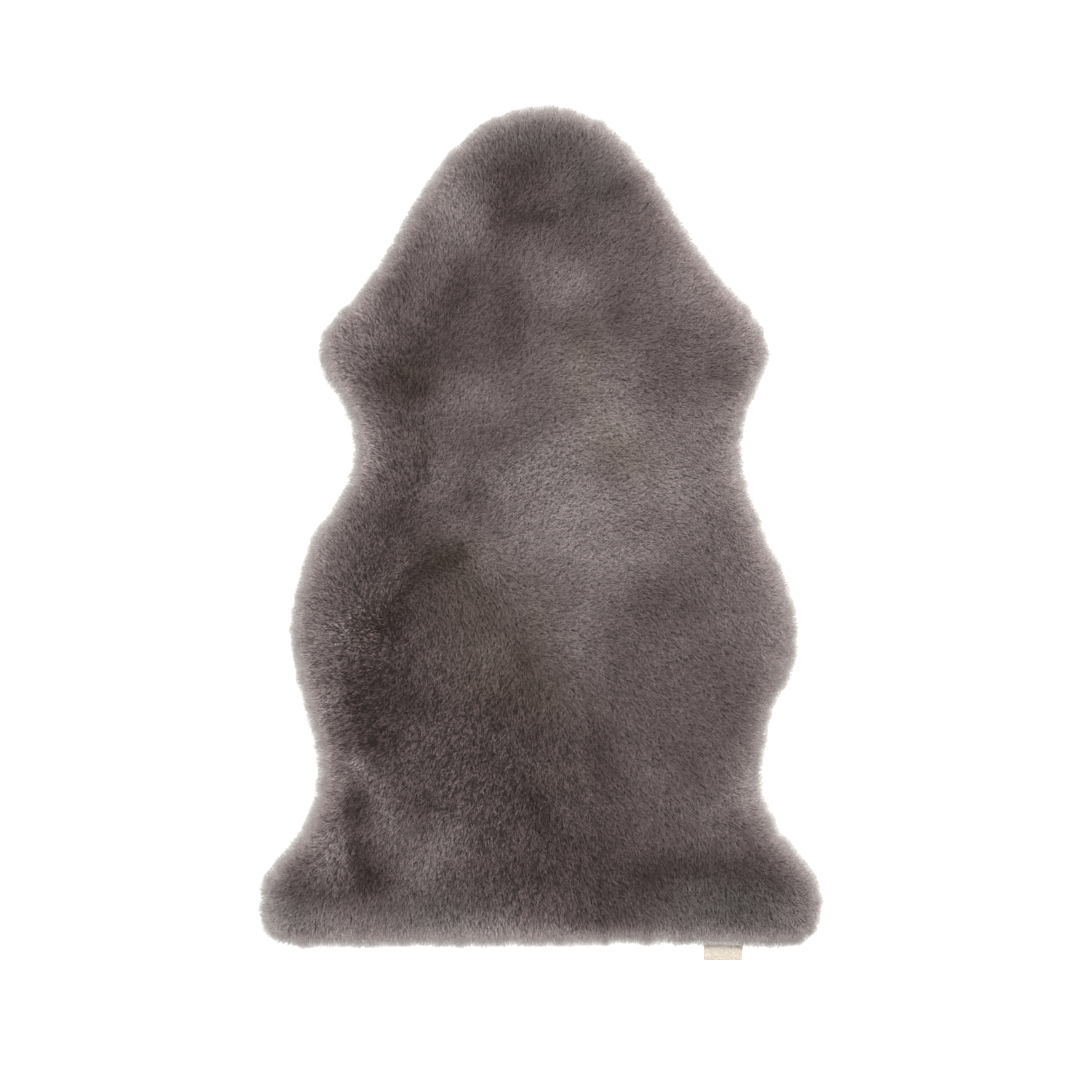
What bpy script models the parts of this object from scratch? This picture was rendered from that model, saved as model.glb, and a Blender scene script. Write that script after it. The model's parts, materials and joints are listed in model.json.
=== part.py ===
"""A sheepskin rug lying flat: one sheared pelt, its wool and hide a single solid, and a bare label of folded
tape sewn under the straight edge. Metres, +Z up. The floor is z = 0 and the neck points along +Y. The origin
is the middle of the part's box, on the floor."""

import math
import random

import bmesh
import bpy
from mathutils import Vector, noise
from mathutils.geometry import delaunay_2d_cdt
from mathutils.kdtree import KDTree

MM = 0.001

# The wool's outline seen from above, in millimetres. x is measured from the pelt's middle line and y from its
# straight edge. It runs clockwise from the tip of the neck.
OUTLINE = (
    # place, x, y
    ("neck tip", 8, 896),
    ("neck right", 53, 884),
    ("neck shoulder right", 91, 859),
    ("upper slope right", 129, 809),
    ("slope right", 155, 765),
    ("lower slope right", 178, 731),
    ("ear top right", 206, 698),
    ("ear shoulder right", 230, 672),
    ("ear right", 243, 634),
    ("ear under right", 231, 598),
    ("waist above right", 218, 566),
    ("waist right", 213, 525),
    ("waist below right", 221, 485),
    ("flank top right", 243, 433),
    ("flank upper right", 263, 387),
    ("flank right", 274, 330),
    ("flank bump right", 266, 290),
    ("notch right", 251, 262),
    ("hip above right", 241, 222),
    ("hip right", 235, 180),
    ("hip below right", 247, 135),
    ("leg slope right", 274, 95),
    ("leg shoulder right", 295, 66),
    ("leg right", 300, 42),
    ("corner upper right", 297, 21),
    ("corner lower right", 289, 6),
    ("straight edge right", 272, -1),
    ("straight edge middle", 60, 1),
    ("straight edge left", -215, 0),
    ("corner lower left", -273, 1),
    ("corner upper left", -291, 10),
    ("leg left", -299, 40),
    ("leg shoulder left", -292, 74),
    ("leg slope left", -266, 104),
    ("hip below left", -246, 138),
    ("hip left", -234, 190),
    ("notch left", -241, 230),
    ("flank lower left", -256, 282),
    ("flank left", -265, 338),
    ("flank upper left", -256, 394),
    ("flank top left", -242, 434),
    ("waist below left", -214, 476),
    ("waist left", -195, 522),
    ("waist above left", -200, 562),
    ("ear under left", -222, 602),
    ("ear left", -233, 640),
    ("ear shoulder left", -219, 671),
    ("ear top left", -187, 702),
    ("slope left", -157, 751),
    ("upper slope left", -127, 805),
    ("neck shoulder left", -80, 862),
    ("neck left", -32, 890),
)

# Wool over the hide
CROWN = 30 * MM  # height of the sheared wool over the floor, away from the rim
SHOULDER = 45 * MM  # how far in from the rim the wool reaches its full height
TIP_TOP = 5 * MM  # the lowest locks end blunt, between these two heights
TIP_FOOT = 2 * MM
GRID = 16 * MM  # spacing of the points that carry the lumps of the wool

# Hide under the wool, its flesh side on the floor
HIDE_THICK = 2 * MM
HIDE_INSET = 14 * MM  # the wool splays this far past the cut edge of the hide
HIDE_BEVEL = 1 * MM  # the knife leaves the edge this far out of square
HIDE_STEP = 10 * MM
FLOOR_GRID = 50 * MM

# Locks at the rim, side by side with a groove between each two
LOCK_COUNT = 180
LOCK_UNEVEN = 0.4  # share by which the locks' widths and the grooves' depths vary
LOCK_REACH = 2 * MM  # how far single tips stand out of line or back from it
LOCK_LEAN = 8 * MM  # how far the tips lean along the rim, one way and the other
LEAN_WAVE = 85 * MM
LOCK_SHAPE = ((0.0, 1.0), (0.36, 0.15), (0.7, 0.0))  # share along the lock, share of the groove's depth there
RIM_ROWS = (
    # inset from the outline, depth of the grooves
    (-3.0 * MM, 6.0 * MM),
    (3.5 * MM, 4.5 * MM),
    (9.5 * MM, 3.0 * MM),
    (17.0 * MM, 1.5 * MM),
)
SEED = 5

# Settings of the triangulation: it fills only what the outermost ring encloses
SPAN_INSIDE = 1
SAME_POINT = 1e-7

# Lumps of the wool: wavelength and height
LUMPS = (
    (105 * MM, 3.4 * MM),
    (46 * MM, 2.6 * MM),
    (25 * MM, 1.6 * MM),
)

# Partings, where the nap falls to both sides and leaves a soft trough. Millimetres, as in OUTLINE.
PARTINGS = (
    # place, x, y, length, width, turn in degrees from +X, depth
    ("left flank swirl", -180, 345, 70, 36, 60, 5.0),
    ("left flank furrow", -120, 400, 150, 40, 55, 4.0),
    ("left hip furrow", -195, 130, 70, 34, 95, 4.5),
    ("left leg furrow", -175, 72, 60, 38, 70, 4.0),
    ("left shoulder furrow", -155, 625, 90, 48, 75, 4.0),
    ("left waist furrow", -122, 525, 60, 24, 75, 3.5),
    ("neck hollow", 0, 780, 120, 60, 20, 3.0),
    ("belly hollow", 20, 235, 190, 90, 150, 2.5),
)

# The label: a tape folded double, its raw ends under the hide
LABEL_WIDTH = 42 * MM
LABEL_X = 197 * MM
LABEL_REACH = 18 * MM  # how far its fold lies past the outline
LABEL_UNDER = 10 * MM  # how far its ends lie under the hide
TAPE_THICK = 0.4 * MM
TAPE_GAP = 0.3 * MM  # between the tape's two layers
FIT_GAP = 0.3 * MM  # clearance between the label and its seat in the hide
FOLD_STEPS = 6
CUTTER_BELOW = 4 * MM  # how far the cutter for the seat starts under the floor

# Linear colours
WOOL_COLOUR = (0.16, 0.135, 0.125, 1.0)
TAPE_COLOUR = (0.75, 0.68, 0.57, 1.0)
WOOL_ROUGHNESS = 0.95
TAPE_ROUGHNESS = 0.85


def clear_scene():
    for obj in list(bpy.data.objects):
        bpy.data.objects.remove(obj)


def material(name, colour, roughness):
    made = bpy.data.materials.new(name)
    made.use_nodes = True
    shader = made.node_tree.nodes["Principled BSDF"]
    shader.inputs["Base Color"].default_value = colour
    shader.inputs["Roughness"].default_value = roughness
    shader.inputs["Metallic"].default_value = 0.0
    return made


def object_from(name, shape, finish):
    """A named object that takes over the bmesh."""
    mesh = bpy.data.meshes.new(name)
    shape.to_mesh(mesh)
    shape.free()
    mesh.materials.append(finish)
    made = bpy.data.objects.new(name, mesh)
    bpy.context.scene.collection.objects.link(made)
    return made


class Rim:
    """The outline as one smooth closed line, read by the share of its length."""

    def __init__(self, corners):
        line = self.smooth(corners)
        self.points = line + line[:1]
        self.inward = [self.inwards(line[k - 1], line[(k + 1) % len(line)]) for k in range(len(line))]
        self.inward.append(self.inward[0])
        self.along = [0.0]
        for a, b in zip(self.points, self.points[1:]):
            self.along.append(self.along[-1] + (b - a).length)
        self.length = self.along[-1]
        self.tree = KDTree(len(line))
        for index, point in enumerate(line):
            self.tree.insert(point, index)
        self.tree.balance()

    @staticmethod
    def inwards(before, after):
        onward = (after - before).normalized()
        return Vector((onward.y, -onward.x, 0))

    @staticmethod
    def smooth(corners):
        """The corners joined by a Bezier curve with automatic handles."""
        curve = bpy.data.curves.new("outline", "CURVE")
        curve.resolution_u = 16
        spline = curve.splines.new("BEZIER")
        spline.bezier_points.add(len(corners) - 1)
        for knot, (_, x, y) in zip(spline.bezier_points, corners):
            knot.co = (x * MM, y * MM, 0)
            knot.handle_left_type = knot.handle_right_type = "AUTO"
        spline.use_cyclic_u = True
        guide = bpy.data.objects.new("outline", curve)
        mesh = bpy.data.meshes.new_from_object(guide)
        line = [vertex.co.copy() for vertex in mesh.vertices]
        bpy.data.objects.remove(guide)
        return line

    def at(self, share):
        """The point at that share of the length, and the way inwards there."""
        wanted = (share % 1.0) * self.length
        low, high = 0, len(self.along) - 1
        while high - low > 1:
            middle = (low + high) // 2
            if self.along[middle] <= wanted:
                low = middle
            else:
                high = middle
        part = (wanted - self.along[low]) / (self.along[high] - self.along[low])
        inward = self.inward[low].lerp(self.inward[high], part).normalized()
        return self.points[low].lerp(self.points[high], part), inward

    def depth(self, point):
        """How far a point lies from the outline."""
        return self.tree.find(Vector((point.x, point.y, 0)))[2]

    def holds(self, point):
        """Whether a point lies inside the outline."""
        inside = False
        for a, b in zip(self.points, self.points[1:]):
            if (a.y > point.y) != (b.y > point.y):
                cross = a.x + (point.y - a.y) / (b.y - a.y) * (b.x - a.x)
                inside ^= point.x < cross
        return inside


def spread_locks():
    """Each lock's start and width as shares of the rim, its share of the grooves' depth and its own reach."""
    chance = random.Random(SEED)
    widths = [1 + LOCK_UNEVEN * chance.uniform(-1, 1) for _ in range(LOCK_COUNT)]
    total, start, locks = sum(widths), 0.0, []
    for width in widths:
        size = 1 + LOCK_UNEVEN * chance.uniform(-1, 1)
        locks.append((start, width / total, size, LOCK_REACH * chance.uniform(-1, 1)))
        start += width / total
    return locks


def rim_row(rim, locks, inset, groove):
    """One ring of points round the pelt, drawn in between the locks."""
    loose = 1 - max(inset, 0) / SHOULDER
    ring = []
    for start, width, size, reach in locks:
        for share, cut in LOCK_SHAPE:
            place = start + share * width
            lean = LOCK_LEAN * loose * noise.noise(rim.at(place)[0] / LEAN_WAVE)
            edge, inward = rim.at(place + lean / rim.length)
            ring.append(edge + inward * (inset + groove * cut * size + reach * loose * (1 - cut)))
    return ring


def even_ring(rim, inset):
    """The outline set inwards by the same amount all round."""
    count = round(rim.length / HIDE_STEP)
    ring = []
    for k in range(count):
        edge, inward = rim.at(k / count)
        ring.append(edge + inward * inset)
    return ring


def grid_points(rim, spacing, least_depth):
    """Points in staggered rows over the pelt, those at least so far in from the outline."""
    xs = [point.x for point in rim.points]
    ys = [point.y for point in rim.points]
    rise = spacing * math.sqrt(3) / 2
    found = []
    for row in range(math.ceil((max(ys) - min(ys)) / rise)):
        y = min(ys) + row * rise
        x = min(xs) + (row % 2) * spacing / 2
        while x < max(xs):
            point = Vector((x, y, 0))
            if rim.holds(point) and rim.depth(point) > least_depth:
                found.append(point)
            x += spacing
    return found


def parting(point, x, y, length, width, turn, depth):
    """How far one parting lowers the wool at a point."""
    angle = math.radians(turn)
    away = point - Vector((x, y, 0)) * MM
    along = away.x * math.cos(angle) + away.y * math.sin(angle)
    across = away.y * math.cos(angle) - away.x * math.sin(angle)
    spread = (2 * along / (length * MM)) ** 2 + (2 * across / (width * MM)) ** 2
    return depth * MM * math.exp(-1.5 * spread)


def wool_height(depth, point):
    """Height of the wool over the floor: a rounded shoulder at the rim, then an uneven crown."""
    inner = min(max(depth, 0) / SHOULDER, 1.0)
    rise = math.sqrt(1 - (1 - inner) ** 2)
    height = TIP_TOP + (CROWN - TIP_TOP) * rise
    for wavelength, size in LUMPS:
        height += size * inner * noise.noise(point / wavelength)
    for _, *trough in PARTINGS:
        height -= inner * parting(point, *trough)
    return height


def raised(point, height):
    return Vector((point.x, point.y, height))


def add_points(shape, points):
    return [shape.verts.new(point) for point in points]


def bridge(shape, ring, other):
    """Quads between two rings of as many vertices."""
    for k in range(len(ring)):
        shape.faces.new((ring[k - 1], ring[k], other[k], other[k - 1]))


def span(shape, rings, loose):
    """Fills the first ring with triangles, as seen from above, through the other rings and loose vertices."""
    corners, edges = [], []
    for ring in rings:
        first = len(corners)
        edges += [(first + k, first + (k + 1) % len(ring)) for k in range(len(ring))]
        corners += ring
    corners += loose
    flat = [corner.co.xy for corner in corners]
    for face in delaunay_2d_cdt(flat, edges, [], SPAN_INSIDE, SAME_POINT)[2]:
        shape.faces.new([corners[k] for k in face])


def build_wool(shape, rim):
    """The wool's outside, from its lowest tips over the crown. Gives the ring of vertices at its foot."""
    locks = spread_locks()
    tips = rim_row(rim, locks, *RIM_ROWS[0])
    rows = [[raised(tip, TIP_FOOT) for tip in tips], [raised(tip, TIP_TOP) for tip in tips]]
    for inset, groove in RIM_ROWS[1:]:
        row = rim_row(rim, locks, inset, groove)
        rows.append([raised(point, wool_height(inset, point)) for point in row])
    rings = [add_points(shape, row) for row in rows]
    for ring, other in zip(rings, rings[1:]):
        bridge(shape, ring, other)
    crown = grid_points(rim, GRID, RIM_ROWS[-1][0] + 0.75 * GRID)
    crown = [raised(point, wool_height(rim.depth(point), point)) for point in crown]
    span(shape, rings[-1:], add_points(shape, crown))
    return rings[0]


def build_pelt(rim, finish):
    """The pelt as one solid: lumpy wool, locks at the rim, and the hide's flat flesh side below."""
    shape = bmesh.new()
    wool_foot = build_wool(shape, rim)
    hide_top = [raised(point, HIDE_THICK) for point in even_ring(rim, HIDE_INSET)]
    hide_foot = even_ring(rim, HIDE_INSET + HIDE_BEVEL)
    hide_rings = [add_points(shape, ring) for ring in (hide_top, hide_foot)]
    flesh_side = add_points(shape, grid_points(rim, FLOOR_GRID, HIDE_INSET + FLOOR_GRID / 3))
    span(shape, [wool_foot, *hide_rings], flesh_side)
    bmesh.ops.recalc_face_normals(shape, faces=shape.faces)
    return object_from("pelt", shape, finish)


def edge_y_at(rim, x):
    """Where the straight edge of the wool lies near this x."""
    return min(point.y for point in rim.points if abs(point.x - x) < LABEL_WIDTH)


def tape_line(fold_y, end_y, radius):
    """One face of the folded tape, seen from its side: from its lower end round the fold to its upper end."""
    middle = TAPE_THICK + TAPE_GAP / 2
    bend = []
    for k in range(FOLD_STEPS + 1):
        angle = math.pi * k / FOLD_STEPS
        bend.append((fold_y + middle - radius * math.sin(angle), middle - radius * math.cos(angle)))
    return [(end_y, middle - radius), *bend, (end_y, middle + radius)]


def build_label(edge_y, finish):
    """The label, a bare tape folded double, flat on the floor."""
    ends = (edge_y - LABEL_REACH, edge_y + HIDE_INSET + LABEL_UNDER)
    section = tape_line(*ends, TAPE_GAP / 2 + TAPE_THICK) + tape_line(*ends, TAPE_GAP / 2)[::-1]
    shape = bmesh.new()
    left = LABEL_X - LABEL_WIDTH / 2
    face = shape.faces.new([shape.verts.new((left, y, z)) for y, z in section])
    extruded = bmesh.ops.extrude_face_region(shape, geom=[face])["geom"]
    moved = [item for item in extruded if isinstance(item, bmesh.types.BMVert)]
    bmesh.ops.translate(shape, verts=moved, vec=(LABEL_WIDTH, 0, 0))
    bmesh.ops.recalc_face_normals(shape, faces=shape.faces)
    return object_from("label", shape, finish)


def cut_label_seat(pelt, edge_y):
    """A shallow seat in the flesh side of the hide, which the label's sewn ends fill."""
    depth = 2 * TAPE_THICK + TAPE_GAP + FIT_GAP
    inner_y = edge_y + HIDE_INSET + LABEL_UNDER + FIT_GAP
    outer_y = edge_y - LABEL_REACH
    shape = bmesh.new()
    bmesh.ops.create_cube(shape, size=1.0)
    size = (LABEL_WIDTH + 2 * FIT_GAP, inner_y - outer_y, depth + CUTTER_BELOW)
    middle = (LABEL_X, (inner_y + outer_y) / 2, (depth - CUTTER_BELOW) / 2)
    bmesh.ops.scale(shape, vec=size, verts=shape.verts)
    bmesh.ops.translate(shape, vec=middle, verts=shape.verts)
    cutter = object_from("label_seat_cutter", shape, pelt.data.materials[0])
    cutter.hide_render = True
    cutter.display_type = "WIRE"
    cut = pelt.modifiers.new("label seat", "BOOLEAN")
    cut.operation = "DIFFERENCE"
    cut.object = cutter
    return cutter


def centre_on_floor(objects, measured):
    """Moves every object so that the middle of the measured ones' box, on the floor, is the origin."""
    corners = [vertex.co for obj in measured for vertex in obj.data.vertices]
    middle_x = (min(c.x for c in corners) + max(c.x for c in corners)) / 2
    middle_y = (min(c.y for c in corners) + max(c.y for c in corners)) / 2
    for obj in objects:
        obj.location = (-middle_x, -middle_y, 0)


def main():
    clear_scene()
    rim = Rim(OUTLINE)
    wool = material("wool", WOOL_COLOUR, WOOL_ROUGHNESS)
    tape = material("tape", TAPE_COLOUR, TAPE_ROUGHNESS)
    edge_y = edge_y_at(rim, LABEL_X)
    pelt = build_pelt(rim, wool)
    label = build_label(edge_y, tape)
    cutter = cut_label_seat(pelt, edge_y)
    centre_on_floor([pelt, label, cutter], [pelt, label])
    pelt.data.shade_smooth()
    pelt.data.set_sharp_from_angle(angle=math.radians(40))


main()
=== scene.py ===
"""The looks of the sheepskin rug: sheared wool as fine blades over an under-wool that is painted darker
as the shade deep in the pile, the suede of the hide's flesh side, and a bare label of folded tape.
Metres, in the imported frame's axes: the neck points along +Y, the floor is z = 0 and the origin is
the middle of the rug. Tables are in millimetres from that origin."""

import json
import math

import bpy
import numpy as np
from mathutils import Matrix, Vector, noise
from mathutils.bvhtree import BVHTree
from mathutils.geometry import delaunay_2d_cdt
from mathutils.kdtree import KDTree

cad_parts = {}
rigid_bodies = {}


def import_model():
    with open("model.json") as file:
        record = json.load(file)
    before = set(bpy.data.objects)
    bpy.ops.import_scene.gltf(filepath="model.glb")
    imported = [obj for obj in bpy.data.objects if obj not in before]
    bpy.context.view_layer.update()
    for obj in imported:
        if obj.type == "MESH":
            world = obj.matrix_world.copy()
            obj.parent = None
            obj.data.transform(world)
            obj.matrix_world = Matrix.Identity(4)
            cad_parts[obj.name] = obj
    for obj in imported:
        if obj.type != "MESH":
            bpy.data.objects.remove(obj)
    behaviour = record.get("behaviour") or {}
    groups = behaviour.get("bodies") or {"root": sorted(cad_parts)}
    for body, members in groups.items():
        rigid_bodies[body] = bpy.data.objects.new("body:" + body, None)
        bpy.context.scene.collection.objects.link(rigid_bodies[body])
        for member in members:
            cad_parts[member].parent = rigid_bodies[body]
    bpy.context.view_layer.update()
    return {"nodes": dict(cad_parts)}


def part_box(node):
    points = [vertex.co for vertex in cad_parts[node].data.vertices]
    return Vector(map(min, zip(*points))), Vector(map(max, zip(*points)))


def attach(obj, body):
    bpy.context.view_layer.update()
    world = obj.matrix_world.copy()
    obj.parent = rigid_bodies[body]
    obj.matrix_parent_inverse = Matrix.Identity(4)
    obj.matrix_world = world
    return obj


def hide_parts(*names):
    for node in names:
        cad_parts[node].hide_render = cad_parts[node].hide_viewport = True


for startup_object in list(bpy.data.objects):
    bpy.data.objects.remove(startup_object)
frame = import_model()

MM = 0.001
PERCENT = 100
SEED = 11
TINY = 1e-9

# Grid that the pelt's outline and height are read on
CELL = 2 * MM
MARGIN = 24 * MM
RAY_HEIGHT = 1.0

# Form of the wool, as in the solid: a rounded shoulder at the rim, then the crown
CROWN = 30 * MM
SHOULDER = 45 * MM
TIP_TOP = 5 * MM
OUTLINE_BLUR = 5 * MM
DEPTH_BLUR = 1 * MM
SLOPE_BLUR = 2.5 * MM
OUTWARD_BLUR = 4 * MM
LUMP_BLUR = 6 * MM
LUMP_FROM = 8 * MM  # how far in from the rim the solid's own lumps are read
LUMP_FULL = 24 * MM
LEAST_KNOWN = 1e-6
RING_LEAST = 20  # points before a walk round the pelt may end
RING_CLOSED = 0.75  # share of a step, from its start, at which it ends

# Locks of wool. A pair holds a value for close and for open wool, or for the rim and away from it.
LOCK_PITCH = 2.0 * MM
MOST_WEIGHT = 4.0  # locks on the steep rim stand closer, up to this many times
LOCK_TURN = 0.5  # radians by which locks stray from the nap
OPEN_TURN = (0.65, 1)
RIM_TURN = (0.3, 1)
LOCK_WAVES = ((18 * MM, 5, 0.35), (7 * MM, 6, 0.12))  # waves: wavelength, layer of noise, amount
LOCK_SPREAD = 0.65 * MM  # across the nap, and so many times it along the nap
LOCK_STRETCH = 1.6
LOCK_UNEVEN = (0.45 * MM, 0.8 * MM)
LOCK_OVER = 1 * MM  # how far past the outline a blade's tip may lie
RIM_CALM = (2 * MM, 16 * MM)  # towards the outline the wool lies even, between these depths
PIECES = ("wool_neck", "wool_shoulders", "wool_waist", "wool_flanks", "wool_legs")

# Blades, a few to a lock. Ranges are shares of the size before them.
BLADES = 4
BLADE_LENGTH = 11.5 * MM
BLADE_LENGTHS = (0.8, 1.15)
BLADE_WIDTH = 0.60 * MM
BLADE_WIDTHS = (0.7, 1.25)
BLADE_ARCH = 1.0 * MM
BLADE_ARCHES = (0.5, 1.4)
BLADE_LEAN = 42.0  # degrees from upright
BLADE_LEANS = 7  # and how far they stray from it
BLADE_TURN = 0.3  # radians by which blades stray from their lock
BLADE_ROLL = 0.35
BLADE_UNEVEN = 0.3 * MM
BLADE_ROUND = 0.75  # how far the normals of a blade's two sides lean outwards
BLADE_FACE = (0.55, 0.45)  # shares of the wool's own normal and of the blade's in its shading
WIDEST_AT = 0.55
ROOT_LEAST = 1.0 * MM  # heights that no root and no tip goes below
TIP_LEAST = 0.5 * MM
KITE = np.array(((0.5, 0.1), (0.1, 0.5), (0.9, 0.5), (0.5, 0.9)))  # a blade's points in the texture
KITE_TRIANGLES = np.array((0, 2, 1, 1, 2, 3))

# Thinner wool at the rim
RIM_SPARSE = 0.55  # share of the blades that is left at the very outline
RIM_FINE = (0.4, 1)  # and their share of the full width
RIM_DENSE = 8 * MM  # depth from which none is left out
RIM_SCATTER = 1.2  # how much further apart a lock's blades stand at the rim

# The wool's lowest locks, round the rim under the shoulder
FOOT_STEP = 2.2 * MM
FOOT_ROWS = (
    # height, inset from the outline, droop of the tips in degrees
    (4.4 * MM, 4.0 * MM, 6),
    (3.0 * MM, 5.0 * MM, 10),
    (1.7 * MM, 6.0 * MM, 10),
)
FOOT_STRAY = 0.6  # share of a step by which blades leave their place
FOOT_INSETS = 1.0 * MM
FOOT_UNEVEN = 0.5 * MM
FOOT_TURN = 0.25
FOOT_FACE = 0.35
FOOT_LEANS = 6
FOOT_LENGTHS = (0.7, 1.0)
FOOT_WIDTHS = (0.8, 1.4)
FOOT_ARCH = 0.3 * MM
FOOT_TONE = 0.9

# Fine loose fibres that make the soft rim
FIBRE_STEP = 1 * MM
FIBRES = 12  # a step
FIBRE_REACH = 1.9 * MM
FIBRE_MOST = 7.0 * MM
FIBRE_BACK = 0.5 * MM
OVER_LABEL = 3.5 * MM  # how high their tips stay above the tape
LABEL_REACH = 0.4  # and how much of their reach is left there
LABEL_SIDE = 1 * MM
FIBRE_WIDTH = 0.3 * MM
FIBRE_WIDTHS = (0.6, 1.3)
FIBRE_LENGTH = 13 * MM
FIBRE_LENGTHS = (0.7, 1.1)
FIBRE_ARCHES = (0.2, 1.6)  # millimetres
FIBRE_HEIGHTS = (1.5, 13)
FIBRE_DROOP = 0.6  # share of its height that the longest fibre loses
FIBRE_LEANS = (70, 92)
FIBRE_FACES = (0.1, 0.8)
FIBRE_TURN = 0.35
FIBRE_WAVE = (30 * MM, 8, 0.25)
FIBRE_TONE = 1.15

# Under-wool: an uneven body between the blades, well below their tips, painted dark as the shade deep in
# the pile
UNDER_DEPTH = 5.5 * MM
UNDER_INSET = 6 * MM
UNDER_SHADE_TONE = 0.36
UNDER_CELL = 6 * MM
UNDER_WAVE = (11 * MM, 9, 1.2 * MM)
UNDER_GAP = 0.5 * MM  # least height over the hide
KEPT_OFF = 0.6  # share of a cell that the inner points of a sheet keep from its ring

# Hide, lifted a little where the label is sewn under it
HIDE_INSET = 14 * MM
HIDE_THICK = 2 * MM
HIDE_CELL = 10 * MM
HIDE_LEAST = 0.1 * MM
HIDE_UNEVEN = 0.08 * MM
HIDE_WAVE = (22 * MM, 3)
SEAT_HEIGHT = 1.45 * MM
SEAT_MARGIN = 1.5 * MM
SEAT_SLOPE = 9 * MM
SHARP = math.radians(50)

# Label
TAPE_THICK = 0.4 * MM
TAPE_CELL = 1.5 * MM
FOLD_STEPS = 8

# Where the soft wool reaches past the solid's outline, or less far
OUTSET = 1.5 * MM
BULGES = (
    # x, y, length, width, turn in degrees from +X, further out in millimetres
    # neck and left side, downwards
    (0, 442, 200, 70, 0, -1.2), (-107, 397, 50, 40, 62, -1.9), (-140, 345, 160, 60, 62, -2.0),
    (-162, 304, 40, 40, 62, -1.6), (-182, 276, 34, 40, 45, 2.0), (-206, 250, 50, 40, 45, -2.4),
    (-226, 224, 50, 40, 50, -1.3), (-236, 176, 60, 60, 0, 4.7), (-205, 120, 70, 50, 90, 2.6),
    (-205, 60, 60, 50, 90, -1.0), (-225, 22, 40, 40, 55, -1.6), (-242, 2, 40, 40, 70, 2.0),
    (-258, -42, 70, 50, 90, -2.2), (-268, -114, 40, 40, 90, -1.6), (-262, -150, 90, 50, 90, 2.6),
    (-244, -240, 90, 50, 90, 3.4), (-262, -325, 90, 50, 60, -1.2),
    # straight edge and its corners
    (-40, -446, 480, 40, 0, 3.6), (-215, -446, 90, 40, 0, 1.5), (-12, -446, 80, 40, 0, -1.2),
    (105, -446, 70, 40, 0, -1.8), (195, -446, 110, 40, 0, -3.0), (262, -446, 50, 40, 0, 1.0),
    (-292, -438, 40, 40, 0, 1.3), (-302, -402, 50, 40, 90, -1.2),
    # right side, downwards
    (35, 458, 90, 50, -20, 2.0), (76, 440, 40, 40, -35, 1.4), (150, 325, 60, 40, -60, -1.5),
    (106, 400, 60, 40, -55, -1.0), (172, 300, 56, 40, -60, -1.1), (215, 240, 50, 40, -55, -1.5),
    (240, 208, 50, 40, 90, -1.6), (245, 182, 60, 50, 90, 3.4), (218, 130, 80, 50, 70, 4.6),
    (218, 44, 100, 50, 90, 2.0), (268, -70, 110, 50, 90, 1.2), (270, -148, 80, 50, 75, 4.6),
    (240, -222, 120, 50, 90, 2.2), (284, -358, 120, 50, -55, 2.6), (296, -430, 50, 50, 0, 2.2),
)
PATCH_FALL = 1.5  # a patch fades to exp of minus this at the ends of its length and width

# The lie of the nap, region by region
NAP_REACH = 30.0
NAP_RIM = (6 * MM, 30 * MM)  # the nap turns outwards between these depths
NAP_OUT = 1.4
NAP = (
    # x, y, way that the tips point in degrees from +X
    # neck
    (0, 430, 90), (-70, 395, 118), (-30, 400, 100), (60, 395, 50), (0, 362, 42), (-115, 330, 105),
    (-75, 325, 62), (20, 320, 48), (120, 330, 35),
    # shoulders and chest
    (-160, 275, 108), (-115, 265, 72), (-60, 260, 47), (0, 260, 48), (90, 270, 33), (160, 260, 22),
    # ears and upper body
    (-210, 215, 138), (-210, 165, 165), (-185, 195, 110), (-130, 195, 50), (-40, 200, 45),
    (30, 190, 12), (110, 190, 0), (165, 185, -8), (215, 205, 32), (215, 160, 5),
    # waist
    (-190, 110, 138), (-140, 110, 102), (-90, 115, 47), (-10, 130, 26), (60, 140, 0),
    (110, 120, -28), (190, 95, -50), (-60, 60, 38), (20, 50, 27), (80, 55, 14), (150, 55, -14),
    # belly
    (-205, 10, 115), (-160, 5, 58), (-90, 5, 52), (10, -5, 28), (80, 0, 10), (150, 0, -20),
    (195, 0, -60),
    # left flank and its whorl
    (-235, -45, 136), (-185, -40, 75), (-145, -45, 50), (-230, -100, 180), (-225, -160, 185),
    # dark patch
    (-90, -35, -70), (-130, -100, -105), (-60, -75, -60), (-60, -150, -110),
    # low belly and right flank
    (30, -100, 2), (75, -55, 28), (120, -50, -26), (170, -80, -45), (240, -90, -50),
    (110, -150, -40), (190, -160, -32),
    # hips and loin
    (-200, -230, 190), (-150, -220, -122), (-80, -215, -118), (-5, -215, -100), (55, -200, -50),
    (130, -220, -38), (205, -240, -48),
    # rump
    (-215, -290, -132), (-160, -290, -113), (-90, -300, -118), (-20, -310, -92), (40, -310, -68),
    (110, -290, -55), (190, -300, -45),
    # legs and straight edge
    (-260, -370, -132), (-190, -360, -100), (-110, -360, -104), (-20, -390, -90), (65, -390, -58),
    (120, -400, -42), (170, -370, -85), (240, -380, -52),
)
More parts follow.
